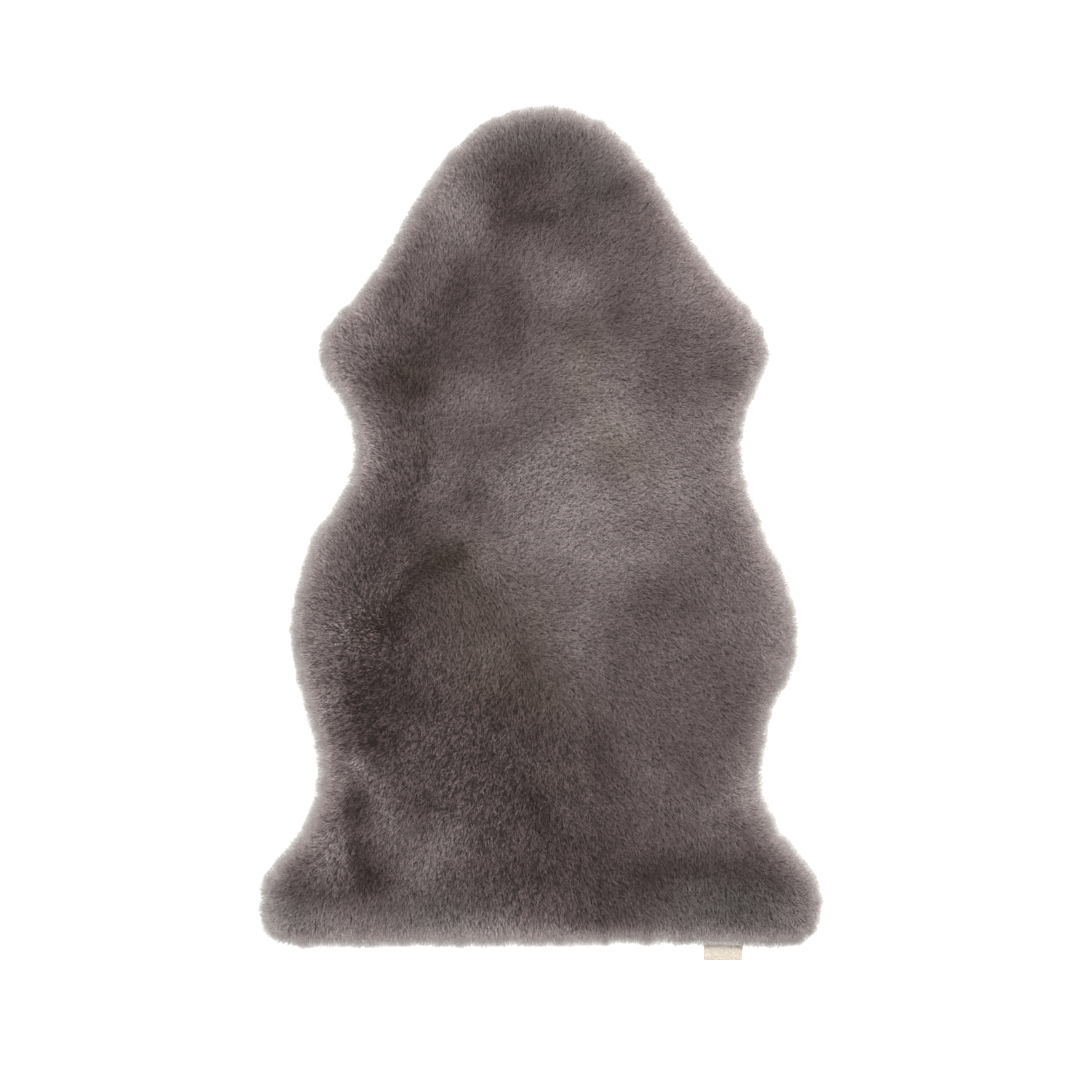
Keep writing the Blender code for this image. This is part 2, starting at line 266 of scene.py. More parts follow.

# Light and dark patches of the wool, region by region: partly the wool's own tone, partly painted light
# and shade where the nap turns towards or away from the light
TONE_FULL = 20 * MM  # depth from which they show in full
TONE_AND_SHADE_PATCHES = (
    # x, y, length, width, turn in degrees from +X, per cent darker below 0 and lighter above
    # neck, left
    (-108, 305, 130, 36, 75, 20), (-104, 362, 60, 36, 62, 22),
    # neck, middle
    (80, 408, 60, 36, -50, 22), (-64, 326, 60, 44, 90, 26), (5, 385, 150, 130, 0, -40),
    (-15, 393, 50, 40, 0, -35), (-36, 352, 90, 46, 80, -50), (-4, 337, 64, 30, 0, -68),
    (42, 314, 50, 34, 0, -22), (64, 360, 56, 40, 0, -20), (83, 366, 45, 26, 35, -35),
    (38, 350, 60, 60, 0, -15), (-86, 338, 110, 60, 80, 52), (22, 378, 44, 40, 0, 28),
    (33, 416, 50, 50, 0, -15), (-46, 386, 56, 36, -25, -15), (0, 382, 34, 44, 0, -11),
    (-32, 319, 46, 34, 0, -12), (22, 344, 36, 46, 0, 12),
    # neck, right
    (108, 338, 90, 36, -65, 16), (108, 345, 150, 50, -60, -32),
    # shoulders, left
    (-110, 230, 200, 110, 60, -20), (-152, 262, 60, 40, 45, -28), (-122, 200, 80, 40, 50, -38),
    (-163, 166, 66, 56, 0, -60), (-112, 178, 90, 34, 30, -28), (-132, 152, 60, 40, 20, -75),
    (-192, 208, 84, 60, 60, 48), (-126, 270, 46, 36, 60, 18), (-134, 190, 66, 36, 0, -11),
    (-190, 182, 70, 34, 50, 12), (-182, 244, 56, 46, 45, 13), (-160, 268, 50, 44, 50, -14),
    (-168, 186, 44, 40, 0, -14), (-196, 212, 46, 40, 0, -11),
    # shoulders, middle
    (-70, 245, 110, 110, 0, -20), (-85, 262, 80, 40, 60, -32), (-30, 228, 110, 42, 95, -58),
    (20, 228, 80, 36, 0, -14), (-80, 288, 40, 36, 0, -14), (-68, 196, 90, 44, 0, -15),
    (86, 232, 60, 34, 80, -32), (38, 217, 60, 30, 0, -15), (24, 262, 100, 78, 10, 50),
    (-18, 292, 50, 30, 0, 15), (-66, 146, 70, 56, 0, 38), (56, 168, 140, 84, -20, 32),
    (-20, 182, 54, 70, 0, 15), (78, 263, 50, 54, 0, -12), (8, 236, 80, 44, -30, -13),
    (46, 272, 50, 40, 0, 10), (-40, 190, 50, 50, 0, -11),
    # shoulders, right
    (152, 262, 110, 60, -55, 40), (212, 208, 60, 50, 0, 26), (142, 162, 110, 56, 20, -25),
    (205, 165, 70, 40, -70, -28), (154, 166, 46, 46, 0, 14),
    # waist, left
    (-143, 120, 44, 36, 0, -22), (-128, 78, 40, 24, 75, -22), (-150, 28, 60, 40, 60, -30),
    (-126, 100, 40, 34, 0, 18), (-180, 85, 90, 30, 90, 25), (-102, 60, 70, 36, 70, 36),
    (-177, 67, 46, 56, 0, 13),
    # waist, middle
    (95, 55, 260, 260, 0, 42), (-45, 102, 60, 36, 0, -15), (78, 66, 60, 40, 0, -22),
    (-72, 40, 50, 36, 0, -30), (44, 103, 70, 30, 0, 16), (65, 28, 120, 44, 0, 24),
    (85, 120, 90, 60, -20, 35), (25, 38, 130, 80, 20, 40), (5, 82, 110, 64, 30, 38),
    (-30, 52, 80, 50, 20, 30), (59, 28, 56, 40, 0, -12), (-53, 72, 46, 36, 0, 12),
    # waist, right
    (165, 90, 110, 80, -70, 15), (165, 125, 60, 60, 0, 18), (155, 40, 130, 70, -50, 35),
    # flanks and belly, left
    (-165, -10, 260, 60, 88, -14), (-160, -90, 300, 100, 80, -35), (-125, -10, 100, 60, 30, -22),
    (-130, -45, 70, 36, 50, -26), (-156, -88, 64, 34, 65, -50), (-184, -160, 74, 50, 10, -66),
    (-145, -184, 80, 44, 0, -50), (-105, -85, 90, 34, 90, -20), (-160, -47, 66, 30, 48, 48),
    (-226, -108, 100, 60, 85, 42), (-230, -28, 80, 40, 70, 22), (-224, -174, 60, 50, 90, 32),
    (-180, -43, 50, 44, 0, -17), (-220, -78, 44, 36, 0, -12), (-232, -143, 56, 44, 0, -14),
    (-170, -96, 120, 36, 90, 12), (-186, -99, 30, 16, 0, -35), (-155, -107, 32, 14, -15, -30),
    (-150, -152, 36, 44, 0, -14), (-130, 18, 70, 36, 20, -12), (-155, -72, 110, 80, 0, 7),
    # flanks and belly, middle
    (-97, -32, 60, 34, 10, -58), (-62, -82, 60, 30, 90, -20), (-18, -140, 90, 34, 105, -35),
    (-46, -190, 110, 50, 10, -20), (-42, -190, 60, 36, 60, -25), (35, -18, 150, 80, -12, 54),
    (3, -88, 100, 50, 90, 28), (-78, 8, 40, 30, 0, 22), (-32, -15, 70, 60, 0, 22),
    (-62, -28, 40, 34, 0, 22), (50, -86, 110, 60, 70, 34), (45, -128, 110, 44, -50, 25),
    (-55, -45, 60, 30, -40, 20), (-58, -128, 60, 40, 0, 20), (46, -176, 60, 90, 0, 13),
    (-32, -66, 34, 60, 0, 15), (-91, 6, 36, 40, 0, 14), (-68, -40, 36, 50, 0, 10),
    (33, -19, 66, 44, -20, -12), (5, -98, 80, 34, 10, -9),
    # flanks and belly, right
    (225, -60, 320, 90, 90, 14), (208, -90, 40, 44, 90, -15), (194, -145, 60, 40, 90, -18),
    (215, -195, 90, 40, 80, -32), (135, -72, 80, 36, -10, -30), (105, -25, 70, 50, 20, 30),
    (205, -100, 120, 90, -60, 24), (254, -112, 90, 40, 85, 22), (150, -130, 50, 44, 0, 16),
    (240, -62, 56, 80, 0, 15), (120, -88, 120, 34, 0, -12), (135, -46, 40, 40, 0, -10),
    (178, 18, 90, 34, 0, -11), (152, -12, 60, 50, 0, 12),
    # hips and rump, left
    (-110, -200, 330, 260, 80, -30), (-194, -202, 70, 50, -60, -52), (-173, -224, 46, 34, 0, -55),
    (-200, -298, 74, 34, 82, -62), (-122, -290, 36, 30, 0, -40), (-165, -236, 60, 40, 0, -18),
    (-198, -249, 30, 24, 0, 75), (-216, -278, 60, 30, 90, 30), (-240, -326, 50, 40, 60, 24),
    (-165, -295, 120, 36, -60, 42), (-220, -218, 44, 44, 0, -12), (-166, -323, 60, 50, 0, 20),
    (-190, -268, 60, 36, 0, 15), (-176, -292, 90, 36, 0, -10),
    # hips and rump, middle
    (25, -310, 300, 220, 0, -32), (-20, -225, 210, 120, 85, -24), (68, -328, 54, 36, 0, -17),
    (-55, -240, 100, 50, -20, -22), (-5, -217, 44, 36, 0, -30), (-12, -280, 60, 36, 110, -48),
    (5, -310, 50, 34, 120, -50), (66, -235, 110, 36, 100, -42), (-24, -248, 50, 44, 90, 20),
    (-100, -326, 76, 52, 30, 52), (-85, -219, 46, 36, 0, 9), (-42, -223, 50, 40, -20, 17),
    (0, -246, 44, 60, 0, 13), (66, -222, 50, 40, 0, -11),
    # hips and rump, right
    (212, -312, 60, 30, -60, -24), (160, -255, 110, 24, -50, -15), (196, -300, 90, 62, 0, 44),
    (118, -262, 100, 60, -60, 24), (218, -262, 60, 36, 90, 22), (210, -277, 60, 40, 0, 12),
    # legs and straight edge, left
    (-262, -354, 50, 36, 45, -17), (-190, -350, 56, 30, 100, -62), (-180, -374, 60, 42, 30, -74),
    (-250, -384, 70, 60, 0, -44), (-132, -364, 72, 44, 0, 44), (-222, -345, 100, 44, 60, 56),
    (-230, -412, 150, 30, 0, 22), (-102, -344, 46, 40, 0, 14), (-278, -408, 60, 50, 0, 16),
    (-255, -374, 90, 50, 0, -9), (-150, -408, 130, 44, 0, -9),
    # legs and straight edge, middle
    (95, -375, 220, 90, 0, -40), (30, -336, 44, 30, 0, -35), (-8, -364, 76, 44, 0, -40),
    (-65, -378, 50, 40, 0, -18), (65, -365, 100, 60, 90, -20), (68, -416, 130, 40, 0, -55),
    (60, -372, 40, 32, 0, 18), (20, -424, 70, 30, 0, 18), (-45, -420, 120, 30, 0, 20),
    (-70, -422, 330, 60, 0, 14), (-58, -331, 44, 66, 0, -14), (0, -409, 60, 40, 0, -12),
    (-92, -396, 90, 44, -20, -9), (28, -360, 100, 40, 0, 6), (26, -352, 36, 60, 0, -13),
    # legs and straight edge, right
    (122, -363, 60, 40, 20, -35), (172, -362, 120, 44, 5, -46), (238, -368, 100, 60, -25, -60),
    (222, -412, 90, 36, 0, -26), (216, -342, 50, 40, 0, 18), (262, -406, 64, 50, 0, 38),
    (156, -380, 44, 34, 0, 42), (135, -390, 70, 36, 0, -13), (245, -366, 60, 50, 0, 12),
    (165, -412, 60, 40, 0, 10), (222, -402, 60, 50, 0, -12),
)

# Crisp edges between the patches. The shade lies left of the way from the first point to the second.
EDGES = (
    # place, from x, y, to x, y, how far the shade fades, darker
    ("patch ridge", -132, -34, -178, -98, 18, -0.46),
    ("patch top", -86, -10, -134, -15, 26, -0.24),
    ("patch side", -62, -54, -82, -8, 20, -0.20),
    ("waist streak", -117, 60, -118, 106, 14, -0.34),
    ("hip edge", -214, -130, -196, -225, 24, -0.20),
    ("leg streak", -208, -276, -206, -332, 18, -0.28),
    ("leg streak inner", -181, -310, -184, -270, 16, -0.22),
    ("leg streak low", -206, -338, -197, -380, 22, -0.34),
)
EDGE_SOFT = 2.0
EDGE_ENDS = 8.0

# Olive and grey patches, from the neck down
TINTS = (
    # x, y, length, width, turn in degrees from +X, per cent olive above 0 and grey below
    (-140, 165, 64, 50, 20, 65), (-130, 98, 50, 40, 0, 20), (-97, -27, 70, 44, 10, 55),
    (-166, -84, 90, 50, 55, 65), (-75, -80, 180, 120, -50, 50), (2, -105, 120, 50, 90, 30),
    (-22, -170, 160, 84, -20, 60), (50, 182, 110, 56, 90, 38), (88, 92, 110, 60, -40, 46),
    (28, -262, 90, 44, 0, 35), (-10, 424, 130, 70, 0, -50), (-70, 382, 80, 50, 60, -20),
    (60, 378, 80, 110, 0, -50), (-270, -405, 110, 100, 0, -45), (-105, -412, 130, 70, 0, -50),
    (200, -400, 200, 100, 0, -65),
)

# Uneven tone that no row above holds
MOTTLES = ((70 * MM, 0, 0.03), (26 * MM, 1, 0.085), (9 * MM, 2, 0.10))
LAYER_GAP = 7.3  # how far apart the layers of noise are
LOCK_TONE = (0.02, 0.40)  # share by which neighbouring locks differ
BLADE_TONE = 0.36  # and the blades: most are a little lighter than the mean, a few are far darker
RIM_BLADE_TONE = (0.25, 1)
PAINTED_LIFT_LIGHT = 0.08  # painted light: locks that stand higher are lighter, as they catch more of the light
ALONG_BLADE = (0.24, 0.72, 1.32)  # tone at the root, the widest place and the tip: partly the wool's own lighter tips, partly painted shade deep in the pile
ALONG_RIM_BLADE = (0.85, 0.95, 1.0)
PAINTED_RIM_LIGHT = 3.2  # painted light: the thin wool at the rim is lighter and greyer, as if the white floor shone through it
RIM_WIDTH = 11 * MM
PAINTED_RIM_GREY = 1.1
PAINTED_RIM_SIDE = 0.24  # painted light on the left rim and painted shade on the right one, by this share, against the key lamp that lights the right rim more
PAINTED_RIM_SIDE_FULL = 5 * MM  # and the depth from which they are in full
WARM_DARK = 0.12  # dark wool is redder: each halving of its tone raises the red by about a twelfth

# Small pits between the locks, and where the wool stands more open and rough: the locks there stand
# lower and are painted darker, as shade in the pits
PIT_WAVE = (3.4 * MM, 11)
PIT_LONG = 1.6 * MM  # pits are drawn out along the nap by steps of this
PIT_STEPS = (-2, -1, 0, 1, 2)
PIT_SCALE = 3.2
PIT_FROM = (0.10, 0.36)
PIT_SHADE = (0.05, 0.72)  # share of the tone that a pit takes, as painted shade
PIT_DEEP = 2.5 * MM
PIT_DEEPS = (0.3, 1)
MOST_OPEN = 1.2
OPEN_ROUGH = 2.0  # how much more the blades' tones differ in open wool
OPEN_GAPS = 0.85  # share of the blades that an open pit lacks
OPEN_LIFT = 14  # degrees by which open wool stands more upright
OPEN_LIGHT = 0.16  # makes up for the light that its pits take
OPEN = (
    # x, y, length, width, turn in degrees from +X, per cent open
    (-185, -110, 280, 110, 82, 90), (-188, -104, 70, 50, 0, 50), (-150, -60, 110, 50, 50, 30),
    (-110, -215, 220, 190, 0, 55), (-40, -300, 220, 200, 0, 45), (-220, -350, 120, 120, 0, 45),
    (30, -390, 320, 90, 0, 30), (220, -380, 140, 100, 0, 15), (-170, 180, 120, 140, 0, 32),
    (-150, 60, 120, 140, 0, 30), (-40, 375, 110, 110, 0, 22), (-100, 250, 120, 110, 0, 18),
    (-20, 64, 130, 90, 20, 28), (-110, -130, 420, 260, 80, 8), (20, -300, 280, 260, 0, 10),
)

# Grain of the crimped fibres
CRIMP_SCALE = 800
CRIMP_TONES = (0.48, 1.20)

LOOK = ("tone", "tint", "warmth")

# Linear colours
WOOL_GREY = (0.1155, 0.1085, 0.1035, 1)
WOOL_TAUPE = (0.1330, 0.1015, 0.1005, 1)
WOOL_OLIVE = (0.1290, 0.1005, 0.0780, 1)
SHEEN = (0.62, 0.56, 0.54, 1)
FLOOR = (0.80, 0.80, 0.80, 1)
WHITE = (1, 1, 1, 1)
GLOW = 0.6  # strength of the floor's own light and of the sky's
CLOTHS = (
    # name, darker and lighter colour, roughness, scale of the clouds, scale of the grain, relief
    ("suede", (0.42, 0.36, 0.30, 1), (0.58, 0.51, 0.43, 1), 0.85, 14, 700, 0.35),
    ("tape", (0.27, 0.225, 0.18, 1), (0.60, 0.545, 0.47, 1), 0.9, 620, 1500, 0.5),
)

# Stage
FLOOR_SIZE = 12
FLOOR_HEIGHT = -0.0005
LIGHTS = (
    # name, place, size, power
    ("key", (1.35, 1.05, 2.75), 1.2, 150),
    ("fill", (-1.7, -0.9, 2.4), 2.2, 40),
)
CAMERA_XY = (-0.4 * MM, -7.5 * MM)
LENS = 85
SENSOR = 36
CAMERA_END = 20
FRAME_WIDTH = 1080 * 1.074 * MM


# -------- fields over the pelt


def blurred(values, sigma):
    """Values on the grid, softened by a Gaussian of that size in metres."""
    reach = math.ceil(3 * sigma / CELL)
    steps = np.arange(-reach, reach + 1)
    weights = np.exp(-0.5 * (steps * CELL / sigma) ** 2)
    weights /= weights.sum()
    for axis in (0, 1):
        padding = [(0, 0), (0, 0)]
        padding[axis] = (reach, reach)
        padded = np.pad(values, padding, mode="edge")
        length = values.shape[axis]
        parts = [np.take(padded, range(k, k + length), axis=axis) for k in range(2 * reach + 1)]
        values = sum(weight * part for weight, part in zip(weights, parts))
    return values


def smooth_step(values, low, high):
    share = np.clip((values - low) / (high - low), 0, 1)
    return share * share * (3 - 2 * share)


def mixed(pair, share):
    """From the first of a pair at 0 to the second at 1."""
    return pair[0] + (pair[1] - pair[0]) * share


def unit(vectors):
    return vectors / np.maximum(np.linalg.norm(vectors, axis=-1, keepdims=True), TINY)


def turned(way, turn):
    """Directions on the floor plan, each turned by its own angle."""
    cos, sin = np.cos(turn), np.sin(turn)
    return np.stack([way[:, 0] * cos - way[:, 1] * sin, way[:, 0] * sin + way[:, 1] * cos], axis=1)


def leftward(way):
    return np.stack([-way[:, 1], way[:, 0]], axis=1)


class Pelt:
    """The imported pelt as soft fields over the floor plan: depth in from the outline, height, slope."""

    def __init__(self, node):
        low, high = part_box(node.name)
        self.low = np.array((low.x, low.y)) - MARGIN
        span = np.array((high.x, high.y)) + MARGIN - self.low
        self.shape = tuple(np.ceil(span / CELL).astype(int) + 1)
        top = self.cast_rays(node.data)
        inside = top > 0
        cover = blurred(inside.astype(float), OUTLINE_BLUR)
        bulge = MM * patches(self.points().reshape(-1, 2), BULGES, 1).reshape(self.shape)
        self.depth = self.signed_depth(cover) + OUTSET + bulge
        profile = self.shoulder(self.depth)
        known = (inside & (self.depth > LUMP_FROM)).astype(float)
        weight = np.maximum(blurred(known, LUMP_BLUR), LEAST_KNOWN)
        lumps = blurred((top - profile) * known, LUMP_BLUR) / weight
        self.height = profile + lumps * smooth_step(self.depth, LUMP_FROM, LUMP_FULL)
        soft = blurred(self.height, SLOPE_BLUR)
        self.slope_x, self.slope_y = (edge / CELL for edge in np.gradient(soft))
        inward_x, inward_y = np.gradient(blurred(self.depth, OUTWARD_BLUR))
        size = np.maximum(np.hypot(inward_x, inward_y), TINY)
        self.out_x, self.out_y = -inward_x / size, -inward_y / size

    def points(self):
        xs = self.low[0] + CELL * np.arange(self.shape[0])
        ys = self.low[1] + CELL * np.arange(self.shape[1])
        return np.stack(np.meshgrid(xs, ys, indexing="ij"), axis=-1)

    def cast_rays(self, mesh):
        """The height of the solid's top over each grid point, and 0 off it."""
        corners = [vertex.co for vertex in mesh.vertices]
        tree = BVHTree.FromPolygons(corners, [face.vertices for face in mesh.polygons])
        down = Vector((0, 0, -1))
        top = np.zeros(self.shape)
        points = self.points()
        for index in np.ndindex(*self.shape):
            hit = tree.ray_cast(Vector((*points[index], RAY_HEIGHT)), down)[0]
            if hit:
                top[index] = hit.z
        return top

    def signed_depth(self, cover):
        """Distance to the line where the softened cover is one half, above 0 inside it."""
        points = self.points()
        crossings = []
        for axis in (0, 1):
            length = cover.shape[axis]
            first = np.take(cover, range(length - 1), axis=axis)
            second = np.take(cover, range(1, length), axis=axis)
            here = np.take(points, range(length - 1), axis=axis)
            there = np.take(points, range(1, length), axis=axis)
            crossed = (first > 0.5) != (second > 0.5)
            share = ((0.5 - first[crossed]) / (second[crossed] - first[crossed]))[:, None]
            crossings.append(here[crossed] * (1 - share) + there[crossed] * share)
        crossings = np.concatenate(crossings)
        tree = KDTree(len(crossings))
        for index, (x, y) in enumerate(crossings):
            tree.insert((x, y, 0), index)
        tree.balance()
        depth = np.empty(cover.shape)
        for index in np.ndindex(*cover.shape):
            x, y = points[index]
            depth[index] = tree.find((x, y, 0))[2]
        return blurred(np.where(cover > 0.5, depth, -depth), DEPTH_BLUR)

    @staticmethod
    def shoulder(depth):
        inner = np.clip(depth / SHOULDER, 0, 1)
        return TIP_TOP + (CROWN - TIP_TOP) * np.sqrt(1 - (1 - inner) ** 2)

    def read(self, values, xy):
        """Values of a field at any points, between the grid's own."""
        place = np.clip((xy - self.low) / CELL, 0, np.array(self.shape) - 1.001)
        corner = place.astype(int)
        share = place - corner
        i, j = corner[:, 0], corner[:, 1]
        u, v = share[:, 0], share[:, 1]
        near = values[i, j] * (1 - u) + values[i + 1, j] * u
        far = values[i, j + 1] * (1 - u) + values[i + 1, j + 1] * u
        return near * (1 - v) + far * v

    def depths(self, xy):
        return self.read(self.depth, xy)

    def roughness(self, xy):
        """0 at the even rim, 1 away from it."""
        return smooth_step(self.depths(xy), *RIM_CALM)

    def outward(self, xy):
        return unit(np.stack([self.read(self.out_x, xy), self.read(self.out_y, xy)], axis=-1))

    def normal(self, xy):
        slopes = [-self.read(self.slope_x, xy), -self.read(self.slope_y, xy), np.ones(len(xy))]
        return unit(np.stack(slopes, axis=-1))

    def walk(self, inset, step):
        """Points that far in from the outline, in order round the pelt."""
        y = self.low[1] + CELL * (self.shape[1] - 1)
        place = np.array([[0.0, y]])
        while self.depths(place)[0] < inset:
            place[0, 1] -= step / 4
        ring = []
        while True:
            out = self.outward(place)[0]
            place = place + (self.depths(place)[0] - inset) * out
            ring.append(place[0])
            if len(ring) > RING_LEAST and np.linalg.norm(ring[-1] - ring[0]) < RING_CLOSED * step:
                return np.array(ring[:-1])
            out = self.outward(place)[0]
            place = place + step * np.array([[out[1], -out[0]]])


def patches(xy, rows, whole=PERCENT):
    """The sum of soft oval patches from a table, at each point."""
    total = np.zeros(len(xy))
    for x, y, length, width, turn, strength in rows:
        away = xy / MM - np.array((x, y))
        angle = math.radians(turn)
        along = away[:, 0] * math.cos(angle) + away[:, 1] * math.sin(angle)
        across = away[:, 1] * math.cos(angle) - away[:, 0] * math.sin(angle)
        fall = PATCH_FALL * ((2 * along / length) ** 2 + (2 * across / width) ** 2)
        total += strength / whole * np.exp(-fall)
    return total


def edge_shades(xy):
    """The shade beside each crisp edge, at each point."""
    total = np.zeros(len(xy))
    for _, from_x, from_y, to_x, to_y, fade, strength in EDGES:
        start, end = np.array((from_x, from_y)), np.array((to_x, to_y))
        length = np.linalg.norm(end - start)
        onward = (end - start) / length
        away = xy / MM - start
        along = away @ onward
        left = away @ np.array((-onward[1], onward[0]))
        past = np.maximum(np.maximum(-along, along - length), 0)
        side = smooth_step(left, -EDGE_SOFT, EDGE_SOFT) * np.exp(-np.maximum(left, 0) / fade)
        total += strength * side * np.exp(-((past / EDGE_ENDS) ** 2))
    return total


def ripple(xy, wavelength, layer, amount=1):
    """Smooth noise at each point, that much to both sides of 0."""
    z = LAYER_GAP * layer
    return amount * np.array([noise.noise((x / wavelength, y / wavelength, z)) for x, y in xy])


def nap_way(pelt, xy):
    """Unit vectors along which the wool lies: as the table says, and outwards at the rim."""
    way = np.zeros_like(xy)
    for x, y, turn in NAP:
        away = xy / MM - np.array((x, y))
        weight = np.exp(-0.5 * (away ** 2).sum(axis=1) / NAP_REACH ** 2) + TINY
        angle = math.radians(turn)
        way += weight[:, None] * np.array((math.cos(angle), math.sin(angle)))
    way = unit(way)
    rim = 1 - smooth_step(pelt.depths(xy), *NAP_RIM)[:, None]
    return unit(way * (1 - rim) + pelt.outward(xy) * rim * NAP_OUT)


def wool_tone(pelt, xy):
    """Tone, tint and warmth of the wool. A tint of 0 is grey, one half is taupe and 1 is olive."""
    depth = pelt.depths(xy)
    rim = np.exp(-np.maximum(depth, 0) / RIM_WIDTH)
    # painted light and shade along with the wool's own tone: the patches, and the shade beside the crisp
    # edges
    change = (patches(xy, TONE_AND_SHADE_PATCHES) + edge_shades(xy)) * smooth_step(depth, 0, TONE_FULL)
    for row in MOTTLES:
        change += ripple(xy, *row)
    # painted light on the left rim and painted shade on the right one
    side = PAINTED_RIM_SIDE * pelt.outward(xy)[:, 0] * rim * smooth_step(depth, 0, PAINTED_RIM_SIDE_FULL)
    # painted light: the rim lighter, greyer and of even warmth
    tone = np.exp(change) * (1 + PAINTED_RIM_LIGHT * rim) * (1 - side)
    tint = 0.5 + 0.5 * patches(xy, TINTS) * (1 - rim) - 0.5 * PAINTED_RIM_GREY * rim
    warmth = np.exp(-WARM_DARK * change) * (1 - rim) + rim
    return tone, np.clip(tint, 0, 1), warmth


def varied(tone, differ, rng):
    """Tones of which most turn out a little lighter and a few far darker."""
    return tone * (1 + differ) * np.exp(-differ * rng.exponential(1, len(tone)))


# -------- blades of wool


def colour(mesh, look):
    """The tone, tint and warmth of each point, for the wool's material."""
    for title, values in zip(LOOK, look):
        layer = mesh.attributes.new(title, "FLOAT", "POINT")
        layer.data.foreach_set("value", values.astype(np.float32).ravel())


def chart(mesh, places):
    """The texture's map, from a place for each corner."""
    mesh.uv_layers.new(name="OFBake").uv.foreach_set("vector", places.astype(np.float32).ravel())


class Blades:
    """Kite-shaped blades, gathered as arrays: root, left, right and tip of each."""

    def __init__(self, root, middle, tip, side, face, half_width, look, rough):
        left, right = middle - side * half_width, middle + side * half_width
        self.points = np.stack([root, left, right, tip], axis=1)
        lean = BLADE_ROUND * rough[:, None]
        self.normals = unit(np.stack([face, face - lean * side, face + lean * side, face], axis=1))
        tone, tint, warmth = look
        # darker roots: partly painted shade deep in the pile
        ends = [np.array(tones)[[0, 1, 1, 2]] for tones in (ALONG_RIM_BLADE, ALONG_BLADE)]
        self.tone = tone[:, None] * mixed(ends, rough[:, None])
        self.tint = np.repeat(tint[:, None], 4, axis=1)
        self.warmth = np.repeat(warmth[:, None], 4, axis=1)

    def part(self, chosen):
        """The chosen blades alone."""
        some = object.__new__(Blades)
        for name, values in vars(self).items():
            setattr(some, name, values[chosen])
        return some

    def mesh(self, name):
        """Two triangles for each blade, with rounded normals and a small square of the texture."""
        count = len(self.points)
        mesh = bpy.data.meshes.new(name)
        mesh.vertices.add(4 * count)
        mesh.vertices.foreach_set("co", self.points.astype(np.float32).ravel())
        corners = (4 * np.arange(count)[:, None] + KITE_TRIANGLES).ravel()
        mesh.loops.add(6 * count)
        mesh.loops.foreach_set("vertex_index", corners)
        mesh.polygons.add(2 * count)
        mesh.polygons.foreach_set("loop_start", np.arange(0, 6 * count, 3))
        mesh.update(calc_edges=True)
        colour(mesh, (self.tone, self.tint, self.warmth))
        side = math.ceil(math.sqrt(count))
        cell = np.arange(count)
        square = np.stack([cell % side, cell // side], axis=1)
        chart(mesh, ((square[:, None] + KITE) / side).reshape(-1, 2)[corners])
        mesh.shade_smooth()
        mesh.normals_split_custom_set_from_vertices(self.normals.reshape(-1, 3))
        return mesh


def build(pelt, rng, spot, height, way, face, lean, length, width, arch, look):
    """Blades whose tips lie at the spots, along a way on the floor plan. face is the wool's normal."""
    flat = np.column_stack([way, np.zeros(len(way))])
    along = unit(flat - (flat * face).sum(axis=1, keepdims=True) * face)
    strand = np.sin(lean)[:, None] * along + np.cos(lean)[:, None] * face
    tip = np.column_stack([spot, height])
    root = tip - length[:, None] * strand
    root[:, 2] = np.maximum(root[:, 2], ROOT_LEAST)
    tip[:, 2] = np.maximum(tip[:, 2], TIP_LEAST)
    middle = root * (1 - WIDEST_AT) + tip * WIDEST_AT + arch[:, None] * face
    side = unit(np.cross(strand, face))
    roll = rng.normal(0, BLADE_ROLL, len(spot))[:, None]
    across = unit(np.cos(roll) * side + np.sin(roll) * unit(np.cross(side, strand)))
    out = unit(BLADE_FACE[0] * face + BLADE_FACE[1] * unit(np.cross(across, strand)))
    return Blades(root, middle, tip, across, out, width[:, None] / 2, look, pelt.roughness(spot))


def lock_spots(pelt, rng):
    """Where the locks stand: a jittered grid that is denser where the wool is steep."""
    points = pelt.points().reshape(-1, 2)
    low, high = points.min(axis=0), points.max(axis=0)
    xs = np.arange(low[0], high[0], LOCK_PITCH)
    ys = np.arange(low[1], high[1], LOCK_PITCH)
    cells = np.stack(np.meshgrid(xs, ys, indexing="ij"), axis=-1).reshape(-1, 2)
    cells = cells[pelt.depths(cells) > -LOCK_PITCH]
    weight = np.minimum(1 / pelt.normal(cells)[:, 2], MOST_WEIGHT)
    copies = np.floor(weight + rng.random(len(cells))).astype(int)
    spots = np.repeat(cells, copies, axis=0)
    spots += LOCK_PITCH * rng.uniform(-0.5, 0.5, spots.shape)
    return spots[pelt.depths(spots) > 0]


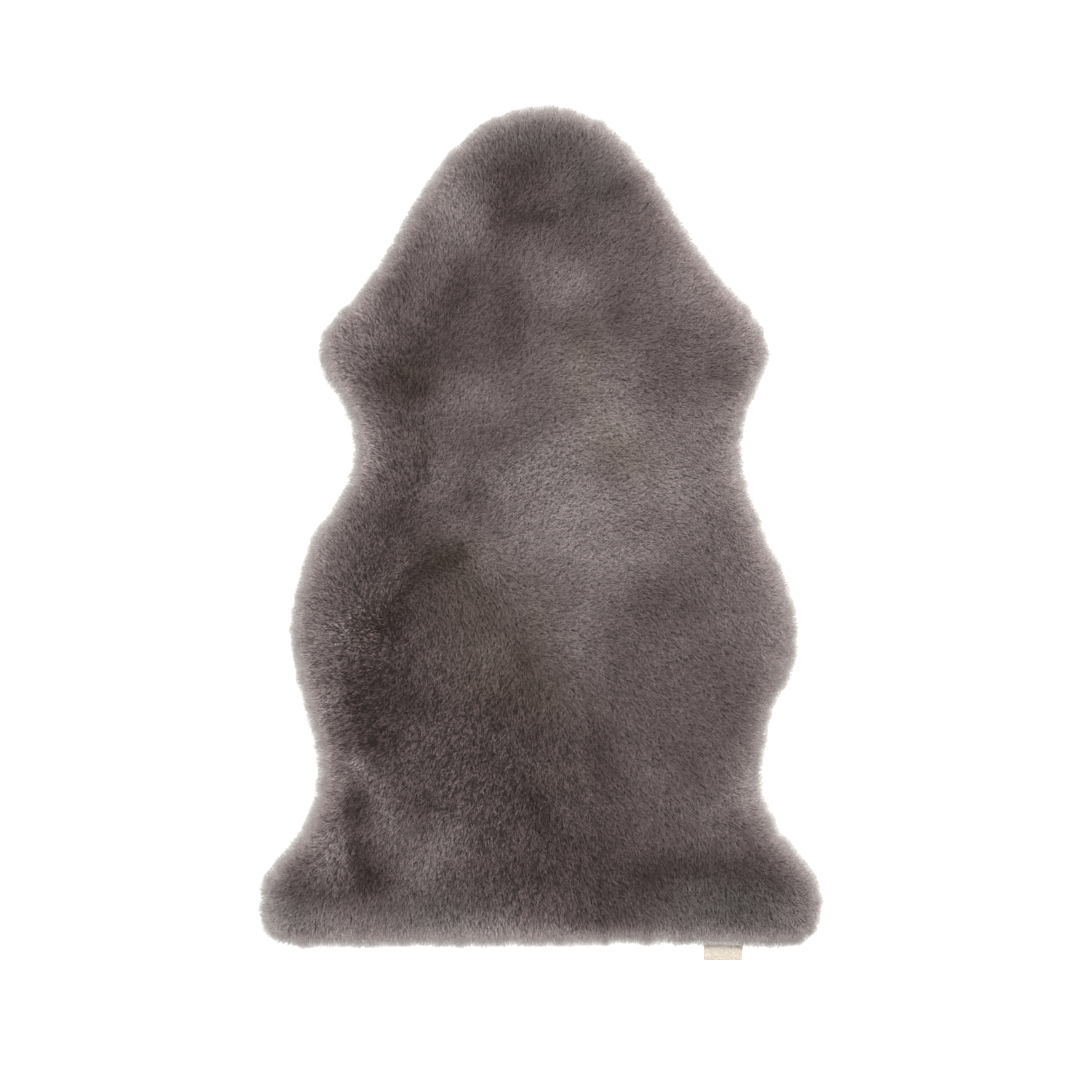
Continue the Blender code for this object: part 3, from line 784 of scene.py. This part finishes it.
def cover_locks(pelt, rng):
    """The locks over the crown and the shoulder, each of a few blades."""
    spots = lock_spots(pelt, rng)
    count = len(spots)
    way = nap_way(pelt, spots)
    rough = pelt.roughness(spots)
    turn = rng.normal(0, LOCK_TURN, count)
    for row in LOCK_WAVES:
        turn += ripple(spots, *row)
    opened = np.clip(patches(spots, OPEN), 0, MOST_OPEN) * rough
    turn *= mixed(RIM_TURN, rough) * mixed(OPEN_TURN, opened)
    lifted = rng.normal(0, 1, count)
    lift = mixed(LOCK_UNEVEN, opened) * lifted * rough
    tone, tint, warmth = wool_tone(pelt, spots)
    # random lock tones, and painted light on the locks that stand higher
    tone = varied(tone, mixed(LOCK_TONE, opened) * rough, rng) * (1 + PAINTED_LIFT_LIGHT * lifted * rough)
    tone *= 1 + OPEN_LIGHT * opened
    drawn = sum(ripple(spots + step * PIT_LONG * way, *PIT_WAVE) for step in PIT_STEPS)
    pit = smooth_step(-(drawn / PIT_SCALE), *PIT_FROM) * rough
    # painted shade in the pits
    tone *= 1 - mixed(PIT_SHADE, opened) * pit
    lift -= PIT_DEEP * mixed(PIT_DEEPS, opened) * pit
    each = np.repeat(np.arange(count), BLADES)
    kept = rng.random(len(each)) < RIM_SPARSE + smooth_step(pelt.depths(spots)[each], 0, RIM_DENSE)
    kept &= rng.random(len(each)) > OPEN_GAPS * (opened * pit)[each]
    each = each[kept]
    total = len(each)
    way = turned(way[each], turn[each] + rng.normal(0, BLADE_TURN, total))
    spread = LOCK_SPREAD * (1 + RIM_SCATTER * (1 - rough[each]))
    spot = spots[each] + leftward(way) * (spread * rng.uniform(-1, 1, total))[:, None]
    spot = spot + way * (LOCK_SPREAD * LOCK_STRETCH * rng.uniform(-1, 1, total))[:, None]
    depth = pelt.depths(spot)
    spot = spot + pelt.outward(spot) * np.minimum(depth + LOCK_OVER, 0)[:, None]
    face = pelt.normal(spot)
    height = pelt.read(pelt.height, spot) + lift[each] + BLADE_UNEVEN * rng.normal(0, 1, total)
    lean = np.radians(BLADE_LEAN - OPEN_LIFT * opened[each] + rng.normal(0, BLADE_LEANS, total))
    length = BLADE_LENGTH * rng.uniform(*BLADE_LENGTHS, total)
    full = mixed(RIM_FINE, smooth_step(depth, 0, RIM_DENSE))
    width = BLADE_WIDTH * rng.uniform(*BLADE_WIDTHS, total) * full
    arch = BLADE_ARCH * rng.uniform(*BLADE_ARCHES, total)
    differ = BLADE_TONE * mixed(RIM_BLADE_TONE, rough[each]) * (1 + OPEN_ROUGH * opened[each])
    look = (varied(tone[each], differ, rng), tint[each], warmth[each])
    return build(pelt, rng, spot, height, way, face, lean, length, width, arch, look)


def foot_locks(pelt, rng):
    """Blades round the rim below the shoulder, down to the floor."""
    ring = pelt.walk(0, FOOT_STEP)
    gathered = []
    for level, inset, droop in FOOT_ROWS:
        spot = np.repeat(ring, BLADES, axis=0)
        total = len(spot)
        out = pelt.outward(spot)
        spot = spot + leftward(out) * FOOT_STEP * rng.uniform(-FOOT_STRAY, FOOT_STRAY, total)[:, None]
        spot = spot + out * (rng.normal(0, FOOT_INSETS, total) - inset)[:, None]
        out = pelt.outward(spot)
        way = turned(out, rng.normal(0, FOOT_TURN, total))
        face = unit(np.column_stack([out * FOOT_FACE, np.full(total, 1.0)]))
        lean = np.radians(90 - droop + rng.normal(0, FOOT_LEANS, total))
        tone, tint, warmth = wool_tone(pelt, spot)
        height = level + FOOT_UNEVEN * rng.normal(0, 1, total)
        length = BLADE_LENGTH * rng.uniform(*FOOT_LENGTHS, total)
        width = BLADE_WIDTH * rng.uniform(*FOOT_WIDTHS, total)
        arch = FOOT_ARCH * rng.uniform(0, 1, total)
        look = (FOOT_TONE * tone, tint, warmth)
        gathered.append(build(pelt, rng, spot, height, way, face, lean, length, width, arch, look))
    joined = gathered[0]
    for name in vars(joined):
        setattr(joined, name, np.concatenate([getattr(blades, name) for blades in gathered]))
    return joined


def rim_fibres(pelt, rng):
    """Fine single fibres that stand a little past the outline, ever fewer outwards."""
    spot = np.repeat(pelt.walk(0, FIBRE_STEP), FIBRES, axis=0)
    spot = spot + rng.uniform(-1, 1, spot.shape) * FIBRE_STEP
    total = len(spot)
    out = pelt.outward(spot)
    depth = pelt.depths(spot)
    reach = np.minimum(rng.exponential(FIBRE_REACH, total), FIBRE_MOST) - FIBRE_BACK
    low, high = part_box("label")
    middle, half = (low.x + high.x) / 2, (high.x - low.x) / 2
    on_label = (np.abs(spot[:, 0] - middle) < half + LABEL_SIDE) & (spot[:, 1] < high.y)
    reach[on_label] *= LABEL_REACH
    spot = spot + out * (depth + reach)[:, None]
    turn = rng.normal(0, FIBRE_TURN, total) + ripple(spot, *FIBRE_WAVE)
    way = turned(out, turn)
    height = rng.uniform(*FIBRE_HEIGHTS, total) * MM * (1 - FIBRE_DROOP * reach / FIBRE_MOST)
    height[on_label] = np.maximum(height[on_label], OVER_LABEL)
    face = unit(np.column_stack([out * rng.uniform(*FIBRE_FACES, total)[:, None], np.ones(total)]))
    lean = np.radians(rng.uniform(*FIBRE_LEANS, total))
    length = FIBRE_LENGTH * rng.uniform(*FIBRE_LENGTHS, total)
    width = FIBRE_WIDTH * rng.uniform(*FIBRE_WIDTHS, total)
    arch = rng.uniform(*FIBRE_ARCHES, total) * MM
    tone, tint, warmth = wool_tone(pelt, spot)
    look = (FIBRE_TONE * tone, tint, warmth)
    return build(pelt, rng, spot, height, way, face, lean, length, width, arch, look)


# -------- materials


def settle(node, values):
    """A node with its settings. Names with a capital are inputs."""
    for title, value in values.items():
        if title[0].isupper():
            node.inputs[title.replace("_", " ")].default_value = value
        else:
            setattr(node, title, value)
    return node


def new_material(name, **values):
    """A material, its nodes, its links and its Principled BSDF."""
    made = bpy.data.materials.new(name)
    made.use_nodes = True
    nodes, links = made.node_tree.nodes, made.node_tree.links
    return made, nodes, links, settle(nodes["Principled BSDF"], {"Metallic": 0, **values})


def add(nodes, kind, **values):
    return settle(nodes.new("ShaderNode" + kind), values)


def link(links, *rows):
    """Links, each from a node's output to another node's input."""
    for source, output, target, entry in rows:
        links.new(source.outputs[output], target.inputs[entry])


def roughen(nodes, links, shader, source, least, most, strength, distance):
    """Gloss and relief that follow a noise."""
    gloss = add(nodes, "MapRange", To_Min=least, To_Max=most)
    bump = add(nodes, "Bump", Strength=strength, Distance=distance)
    link(
        links,
        (source, "Fac", gloss, "Value"),
        (gloss, "Result", shader, "Roughness"),
        (source, "Fac", bump, "Height"),
        (bump, "Normal", shader, "Normal"),
    )


def wool_material():
    """Taupe wool: the tone and tint of each blade, with fine fibres along it."""
    sheen = {"Sheen_Weight": 0.25, "Sheen_Roughness": 0.5, "Sheen_Tint": SHEEN}
    made, nodes, links, shader = new_material("wool", Roughness=0.9, Specular_IOR_Level=0.2, **sheen)
    tone, tint, warmth = (add(nodes, "Attribute", attribute_name=name) for name in LOOK)
    warm = add(nodes, "CombineXYZ", Y=1.0, Z=1.0)
    tinted = add(nodes, "VectorMath", operation="MULTIPLY")
    ramp = add(nodes, "ValToRGB")
    ramp.color_ramp.elements[0].color = WOOL_GREY
    ramp.color_ramp.elements[1].color = WOOL_OLIVE
    ramp.color_ramp.elements.new(0.5).color = WOOL_TAUPE
    blade_map = add(nodes, "UVMap", uv_map="OFBake")
    stretch = add(nodes, "Mapping", Scale=(2600, 130, 1))
    fibres = add(nodes, "TexNoise", Scale=1.0, Detail=2.0, Roughness=0.6)
    shade = add(nodes, "MapRange", To_Min=0.8, To_Max=1.2)
    place = add(nodes, "TexCoord")
    crimp = add(nodes, "TexNoise", Scale=CRIMP_SCALE, Detail=1.0, Roughness=0.5)
    dark, light = CRIMP_TONES
    grain = add(nodes, "MapRange", From_Min=0.34, From_Max=0.58, To_Min=dark, To_Max=light)
    fine = add(nodes, "Math", operation="MULTIPLY")
    lit = add(nodes, "Math", operation="MULTIPLY")
    coloured = add(nodes, "VectorMath", operation="SCALE")
    link(
        links,
        (tint, "Fac", ramp, "Fac"),
        (blade_map, "UV", stretch, "Vector"),
        (stretch, "Vector", fibres, "Vector"),
        (fibres, "Fac", shade, "Value"),
        (place, "Object", crimp, "Vector"),
        (crimp, "Fac", grain, "Value"),
        (shade, "Result", fine, 0),
        (grain, "Result", fine, 1),
        (fine, "Value", lit, 0),
        (tone, "Fac", lit, 1),
        (warmth, "Fac", warm, "X"),
        (ramp, "Color", tinted, 0),
        (warm, "Vector", tinted, 1),
        (tinted, "Vector", coloured, "Vector"),
        (lit, "Value", coloured, "Scale"),
        (coloured, "Vector", shader, "Base Color"),
    )
    roughen(nodes, links, shader, fibres, 0.82, 0.98, 0.25, 0.0002)
    return made


def mottled_material(name, dark, light, roughness, scale, grain, strength):
    """A material of two mixed tones with a fine grain in its relief."""
    made, nodes, links, shader = new_material(name, Roughness=roughness, Specular_IOR_Level=0.2)
    place = add(nodes, "TexCoord")
    clouds = add(nodes, "TexNoise", Scale=scale, Detail=6.0, Roughness=0.6)
    specks = add(nodes, "TexNoise", Scale=grain, Detail=4.0, Roughness=0.65)
    mix = add(nodes, "Mix", data_type="RGBA")
    mix.inputs[6].default_value = dark
    mix.inputs[7].default_value = light
    both = add(nodes, "Math", operation="MULTIPLY_ADD")
    half = add(nodes, "Math", operation="MULTIPLY")
    for halved in (both, half):
        halved.inputs[1].default_value = 0.5
    stretched = add(nodes, "MapRange", From_Min=0.36, From_Max=0.64)
    link(
        links,
        (place, "Object", clouds, "Vector"),
        (place, "Object", specks, "Vector"),
        (clouds, "Fac", both, 0),
        (specks, "Fac", half, 0),
        (half, "Value", both, 2),
        (both, "Value", stretched, "Value"),
        (stretched, "Result", mix, "Factor"),
        (mix, 2, shader, "Base Color"),
    )
    roughen(nodes, links, shader, specks, roughness - 0.1, min(roughness + 0.08, 1), strength, 0.0005)
    return made


# -------- pieces


def show(name, mesh, material, slot, *nodes):
    """A piece of the object: its material, and the CAD nodes that it stands for. The slot is not used.
    """
    mesh.materials.append(material)
    piece = bpy.data.objects.new(name, mesh)
    bpy.context.scene.collection.objects.link(piece)
    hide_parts(*nodes)
    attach(piece, "root")
    return piece


def spanned(pelt, inset, cell, step):
    """A ring round the pelt, and the points and triangles that fill it: its own, then inner rows."""
    ring = pelt.walk(inset, step)
    low, high = ring.min(axis=0), ring.max(axis=0)
    rows = np.arange(low[1], high[1], cell * math.sqrt(3) / 2)
    inner = []
    for k, y in enumerate(rows):
        xs = np.arange(low[0] + (k % 2) * cell / 2, high[0], cell)
        inner.append(np.column_stack([xs, np.full(len(xs), y)]))
    inner = np.concatenate(inner)
    inner = inner[pelt.depths(inner) > inset + KEPT_OFF * cell]
    points = np.concatenate([ring, inner])
    edges = [(k, (k + 1) % len(ring)) for k in range(len(ring))]
    faces = delaunay_2d_cdt([Vector(point) for point in points], edges, [], 1, 1e-7)[2]
    return list(range(len(ring))), points, [tuple(face) for face in faces]


def thick_mesh(name, first, second, faces, ring):
    """A closed thin solid: faces on its second side, the same turned over on its first, and walls."""
    count = len(first)
    lower = [face[::-1] for face in faces]
    upper = [[count + k for k in face] for face in faces]
    walls = [(a, b, count + b, count + a) for a, b in zip(ring, ring[1:] + ring[:1])]
    mesh = bpy.data.meshes.new(name)
    mesh.from_pydata(np.concatenate([first, second]).tolist(), [], lower + upper + walls)
    mesh.update()
    mesh.shade_smooth()
    mesh.set_sharp_from_angle(angle=SHARP)
    return mesh


def build_under_wool(pelt, material):
    """The dense wool between the blades, painted dark as shade."""
    ring, points, faces = spanned(pelt, UNDER_INSET, UNDER_CELL, UNDER_CELL)
    height = pelt.read(pelt.height, points) - UNDER_DEPTH
    height += ripple(points, *UNDER_WAVE)
    height[ring] = HIDE_THICK + UNDER_GAP
    height = np.maximum(height, HIDE_THICK + UNDER_GAP)
    mesh = bpy.data.meshes.new("under_wool")
    mesh.from_pydata(np.column_stack([points, height]).tolist(), [], faces)
    tone, tint, warmth = wool_tone(pelt, points)
    # painted shade: the under-wool has about a third of the wool's tone
    colour(mesh, (UNDER_SHADE_TONE * tone, tint, warmth))
    corners = np.empty(len(mesh.loops), dtype=int)
    mesh.loops.foreach_get("vertex_index", corners)
    chart(mesh, ((points - pelt.low) / (CELL * max(pelt.shape)))[corners])
    mesh.shade_smooth()
    return show("under_wool", mesh, material, "wool", "pelt")


def build_hide(pelt, material):
    """The hide: two millimetres of suede, its flesh side on the floor."""
    ring, points, faces = spanned(pelt, HIDE_INSET, HIDE_CELL, HIDE_CELL / 2)
    low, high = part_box("label")
    past_x = np.maximum(low.x - SEAT_MARGIN - points[:, 0], points[:, 0] - high.x - SEAT_MARGIN)
    past_y = points[:, 1] - high.y - SEAT_MARGIN
    lifted = 1 - smooth_step(np.maximum(past_x, past_y), 0, SEAT_SLOPE)
    wave = HIDE_UNEVEN * (1 + ripple(points, *HIDE_WAVE))
    under = HIDE_LEAST + SEAT_HEIGHT * lifted + wave
    sides = [np.column_stack([points, height]) for height in (under, under + HIDE_THICK)]
    return show("hide", thick_mesh("hide", *sides, faces, ring), material, "hide", "pelt")


def build_wool(pelt, rng, material):
    """All the blades: the cover in bands from the neck to the legs, and the rim."""
    cover = cover_locks(pelt, rng)
    order = np.argsort(-cover.points[:, 3, 1], kind="stable")
    pieces = []
    for name, chosen in zip(PIECES, np.array_split(order, len(PIECES))):
        pieces.append(show(name, cover.part(np.sort(chosen)).mesh(name), material, "wool", "pelt"))
    pieces.append(show("wool_foot", foot_locks(pelt, rng).mesh("wool_foot"), material, "wool", "pelt"))
    pieces.append(show("rim_fibres", rim_fibres(pelt, rng).mesh("rim_fibres"), material, "wool", "pelt"))
    return pieces


def label_section(low, high):
    """The tape's middle line, seen from its side: lower end, fold, upper end."""
    lower_z = TAPE_THICK / 2
    upper_z = high.z - TAPE_THICK / 2
    radius = (upper_z - lower_z) / 2
    centre = low.y + radius + TAPE_THICK / 2
    straight = np.arange(high.y, centre, -TAPE_CELL)
    line = [(y, lower_z) for y in straight]
    for k in range(FOLD_STEPS + 1):
        angle = math.pi * k / FOLD_STEPS
        line.append((centre - radius * math.sin(angle), lower_z + radius * (1 - math.cos(angle))))
    line += [(y, upper_z) for y in straight[::-1]]
    return np.array(line)


def build_label(material):
    """The label: a bare tape folded double, a closed thin sheet."""
    low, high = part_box("label")
    line = label_section(low, high)
    onward = np.gradient(line, axis=0)
    out = unit(np.stack([onward[:, 1], -onward[:, 0]], axis=1))
    xs = np.arange(low.x, high.x + 0.1 * MM, TAPE_CELL)
    xs = low.x + (xs - low.x) * (high.x - low.x) / (xs[-1] - low.x)
    x, index = np.meshgrid(xs, np.arange(len(line)), indexing="ij")
    sides = []
    for way in (-1, 1):
        yz = line - way * out * TAPE_THICK / 2
        sides.append(np.stack([x, yz[index][..., 0], yz[index][..., 1]], axis=-1).reshape(-1, 3))
    grid = np.arange(x.size).reshape(x.shape)
    corners = [grid[:-1, :-1], grid[1:, :-1], grid[1:, 1:], grid[:-1, 1:]]
    faces = np.stack(corners, axis=-1).reshape(-1, 4)
    ring = np.concatenate([grid[:, 0], grid[-1, 1:], grid[-2::-1, -1], grid[0, -2:0:-1]])
    mesh = thick_mesh("label_tape", *sides, faces.tolist(), ring.tolist())
    return show("label_tape", mesh, material, "tape", "label")


# -------- floor, light and camera


def build_stage():
    """A white floor that is lit past white, and large soft lights."""
    bpy.ops.mesh.primitive_plane_add(size=FLOOR_SIZE, location=(0, 0, FLOOR_HEIGHT))
    floor = bpy.context.object
    floor.name = "floor"
    lit = {"Base_Color": FLOOR, "Emission_Color": WHITE, "Emission_Strength": GLOW}
    floor.data.materials.append(new_material("floor", Roughness=0.9, Specular_IOR_Level=0.0, **lit)[0])
    world = bpy.data.worlds.new("studio")
    bpy.context.scene.world = world
    world.use_nodes = True
    settle(world.node_tree.nodes["Background"], {"Color": WHITE, "Strength": GLOW})
    for name, place, size, power in LIGHTS:
        data = bpy.data.lights.new(name, "AREA")
        data.shape = "DISK"
        data.size = size
        data.energy = power
        light = bpy.data.objects.new(name, data)
        light.location = place
        light.rotation_euler = (-Vector(place)).to_track_quat("-Z", "Y").to_euler()
        bpy.context.scene.collection.objects.link(light)


def build_camera():
    """Straight above the rug, the neck up."""
    data = bpy.data.cameras.new("camera")
    data.lens = LENS
    data.sensor_width = SENSOR
    data.clip_end = CAMERA_END
    camera = bpy.data.objects.new("camera", data)
    camera.location = (*CAMERA_XY, TIP_TOP + FRAME_WIDTH * LENS / SENSOR)
    bpy.context.scene.collection.objects.link(camera)
    bpy.context.scene.camera = camera
    bpy.context.scene.view_settings.view_transform = "Standard"


def main():
    rng = np.random.default_rng(SEED)
    pelt = Pelt(frame["nodes"]["pelt"])
    wool = wool_material()
    suede, tape = (mottled_material(*cloth) for cloth in CLOTHS)
    wool_pieces = build_wool(pelt, rng, wool)
    wool_pieces.append(build_under_wool(pelt, wool))
    hide = build_hide(pelt, suede)
    label = build_label(tape)
    build_stage()
    build_camera()


main()
